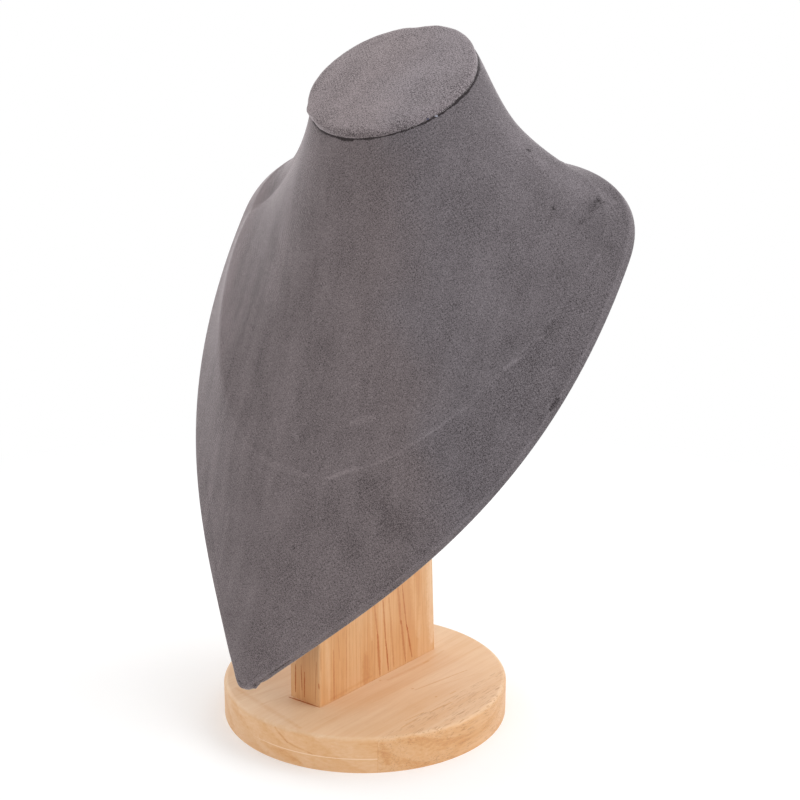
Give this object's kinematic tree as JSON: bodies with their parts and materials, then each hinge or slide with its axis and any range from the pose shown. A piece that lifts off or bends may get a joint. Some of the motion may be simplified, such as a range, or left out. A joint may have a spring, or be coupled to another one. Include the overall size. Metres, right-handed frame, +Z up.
{
  "type": "necklace stand",
  "caption": "Velvet-covered moulded bust that leans back on a wooden post and round wooden base, with a tilted oval neck cap, for showing necklaces.",
  "frame": {"origin": "centre of the round base's underside, on the table", "axes": "+Z up; the bust faces -Y and leans back towards +Y; +X is to the right of someone who looks at its front"},
  "size_m": [0.2176, 0.1469, 0.3056],
  "materials": {
    "wood": "light hardwood, sanded and clear matt lacquered",
    "velvet": "short-pile grey velvet",
    "steel": "zinc-plated",
    "resin": "unpainted moulded resin",
    "hardboard": "plain hardboard"
  },
  "bodies": {
    "root": {"base_disc": "wood", "base_screws": "steel", "post": "wood", "back_board": "hardboard", "board_screws": "steel", "bust_form": "resin", "front_cover": "velvet", "back_lining": "velvet", "cap_board": "hardboard", "cap_cover": "velvet"}
  },
  "joints": []
}
